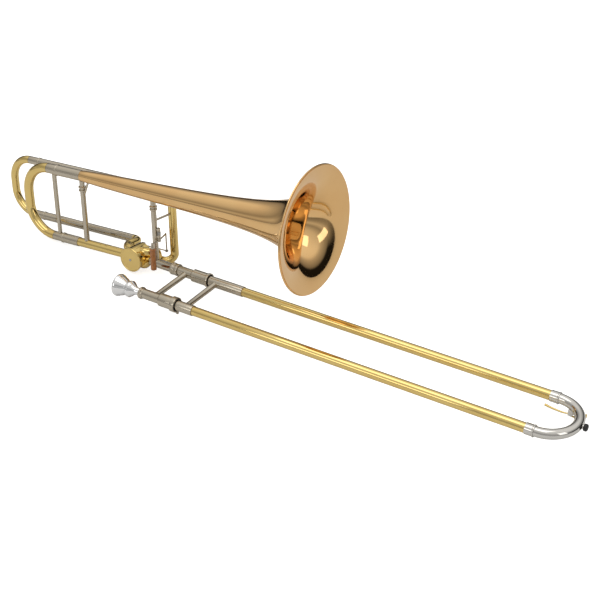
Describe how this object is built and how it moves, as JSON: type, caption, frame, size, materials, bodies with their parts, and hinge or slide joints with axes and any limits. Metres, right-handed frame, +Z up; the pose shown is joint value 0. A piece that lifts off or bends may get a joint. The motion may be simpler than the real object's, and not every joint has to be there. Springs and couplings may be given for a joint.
{
  "type": "trombone",
  "caption": "Tenor trombone with a rotor attachment: telescoping hand slide, flared bell, tuning slides, thumb trigger and mouthpiece.",
  "frame": {"origin": "middle of the inner slide brace, where the left hand holds the instrument", "axes": "+X forward along the hand slide, +Y towards the bell-side tube, +Z up towards the bell"},
  "size_m": [1.2012, 0.2331, 0.2819],
  "materials": {
    "gold_brass": "polished, lacquered, rose gold tint",
    "yellow_brass": "polished, lacquered",
    "nickel_silver": "satin nickel silver, lacquered",
    "bright_nickel": "polished nickel plate",
    "silver": "bright silver plate",
    "steel": "plain steel",
    "copper_wood": "reddish brown, semi-gloss",
    "rubber": "matt black",
    "cork": "matt cork"
  },
  "bodies": {
    "inner_slide": {"near_cork_barrel": "nickel_silver", "far_cork_barrel": "nickel_silver", "near_inner_tube": "bright_nickel", "far_inner_tube": "bright_nickel", "leadpipe": "yellow_brass", "near_slide_cork": "cork", "far_slide_cork": "cork", "mouthpiece_receiver": "nickel_silver", "inner_brace": "nickel_silver"},
    "mouthpiece_body": {"mouthpiece": "silver"},
    "slide_lock": {"slide_lock_ring": "nickel_silver"},
    "lock_nut": {"bell_lock_nut": "nickel_silver"},
    "outer_slide": {"near_outer_tube": "yellow_brass", "far_outer_tube": "yellow_brass", "near_outer_sleeve": "nickel_silver", "far_outer_sleeve": "nickel_silver", "near_crook_ferrule": "bright_nickel", "far_crook_ferrule": "bright_nickel", "slide_crook": "bright_nickel", "outer_brace": "nickel_silver", "bumper_socket": "bright_nickel", "crook_bumper": "rubber", "water_key_nipple": "bright_nickel", "water_key_saddle": "bright_nickel"},
    "water_key": {"water_key_lever": "yellow_brass", "water_key_pad": "cork"},
    "bell_section": {"bell": "gold_brass", "main_upper_sleeve": "nickel_silver", "main_lower_sleeve": "nickel_silver", "main_neck_tube": "yellow_brass", "f_upper_sleeve": "nickel_silver", "f_lower_sleeve": "nickel_silver", "f_sleeve_brace": "nickel_silver", "f_upper_tube": "nickel_silver", "f_lower_tube": "yellow_brass", "f_front_crook": "yellow_brass", "rotor_casing": "yellow_brass", "rotor_cap": "yellow_brass", "bearing_plate": "yellow_brass", "stop_bumper_rest": "rubber", "stop_bumper_pressed": "rubber", "trigger_hinge": "nickel_silver", "trigger_spring": "steel", "neckpipe": "nickel_silver", "rear_bell_brace": "nickel_silver", "front_bell_brace": "nickel_silver", "f_upper_strut": "nickel_silver"},
    "main_tuning_slide": {"main_tuning_bow": "yellow_brass", "main_tuning_lower_leg": "nickel_silver", "main_tuning_upper_leg": "nickel_silver", "main_tuning_brace": "nickel_silver"},
    "f_tuning_slide": {"f_tuning_bow": "yellow_brass", "f_tuning_lower_leg": "nickel_silver", "f_tuning_upper_leg": "nickel_silver"},
    "rotor_body": {"rotor": "nickel_silver", "stop_arm": "nickel_silver"},
    "trigger": {"trigger_lever": "nickel_silver", "trigger_handle": "copper_wood"},
    "link": {"trigger_link": "steel"}
  },
  "joints": [
    {"name": "bell_swivel", "type": "hinge", "parent": "inner_slide", "child": "bell_section", "pos_m": [-0.0867, 0.04675, 0], "axis": [1, 0, 0], "range_deg": [-30, 30]},
    {"name": "hand_slide", "type": "slide", "parent": "inner_slide", "child": "outer_slide", "axis": [1, 0, 0], "range_m": [0, 0.6]},
    {"name": "slide_lock_turn", "type": "hinge", "parent": "inner_slide", "child": "slide_lock", "pos_m": [0.044, -0.04675, 0], "axis": [1, 0, 0], "range_deg": [0, 40]},
    {"name": "bell_lock_turn", "type": "hinge", "parent": "inner_slide", "child": "lock_nut", "pos_m": [-0.024, 0.04675, 0], "axis": [1, 0, 0], "range_deg": [0, 1080]},
    {"name": "mouthpiece_pull", "type": "slide", "parent": "inner_slide", "child": "mouthpiece_body", "axis": [-1, 0, 0], "range_m": [0, 0.1]},
    {"name": "main_tuning_pull", "type": "slide", "parent": "bell_section", "child": "main_tuning_slide", "axis": [-0.998, -0.0052, -0.0624], "range_m": [0, 0.042]},
    {"name": "f_tuning_pull", "type": "slide", "parent": "bell_section", "child": "f_tuning_slide", "axis": [-0.998, -0.0052, -0.0624], "range_m": [0, 0.06]},
    {"name": "trigger_press", "type": "hinge", "parent": "bell_section", "child": "trigger", "pos_m": [-0.06051, 0.05058, 0.04557], "axis": [0.0626, -0.0835, -0.9945], "range_deg": [0, 30], "stiffness_Nm_per_rad": 0.3, "springref_deg": -5.73},
    {"name": "rotor_turn", "type": "hinge", "parent": "bell_section", "child": "rotor_body", "pos_m": [-0.10978, 0.0468, 0.00055], "axis": [0, 0.9965, -0.0837], "range_deg": [0, 90]},
    {"name": "link_swing", "type": "hinge", "parent": "trigger", "child": "link", "pos_m": [-0.06608, 0.0762, 0.0101], "axis": [0.0626, -0.0835, -0.9945], "range_deg": [-30, 0]},
    {"name": "water_key_press", "type": "hinge", "parent": "outer_slide", "child": "water_key", "pos_m": [0.71421, 0.0327, -0.0103], "axis": [0, 1, 0], "range_deg": [0, 20], "stiffness_Nm_per_rad": 0.15, "springref_deg": -5.73}
  ],
  "couplings": [
    {"joint": "rotor_turn", "follows": "trigger_press", "ratio": 3},
    {"joint": "link_swing", "follows": "trigger_press", "ratio": -1}
  ]
}
